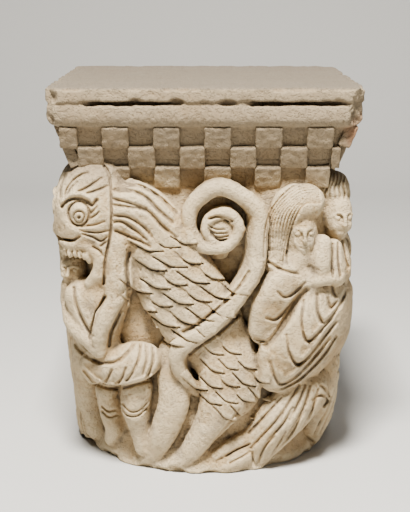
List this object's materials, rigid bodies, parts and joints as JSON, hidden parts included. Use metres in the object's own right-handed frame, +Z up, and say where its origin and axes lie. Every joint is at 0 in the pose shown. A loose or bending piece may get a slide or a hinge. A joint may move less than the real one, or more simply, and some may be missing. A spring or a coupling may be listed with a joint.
{
  "type": "historiated capital",
  "caption": "Carved stone column capital with a moulded, chequered square abacus over figures, a feathered beast and drapery, narrowing to a round bed that takes the shaft",
  "frame": {"origin": "middle of the round bottom bed, on the column shaft's axis", "axes": "+Z up along the column's axis, -Y out of the front face with the beast, +X towards the bearers' corner"},
  "size_m": [0.32, 0.32, 0.418],
  "materials": {
    "stone": "matt, weathered, hand tooled"
  },
  "bodies": {
    "root": {"capital": "stone"}
  },
  "joints": []
}
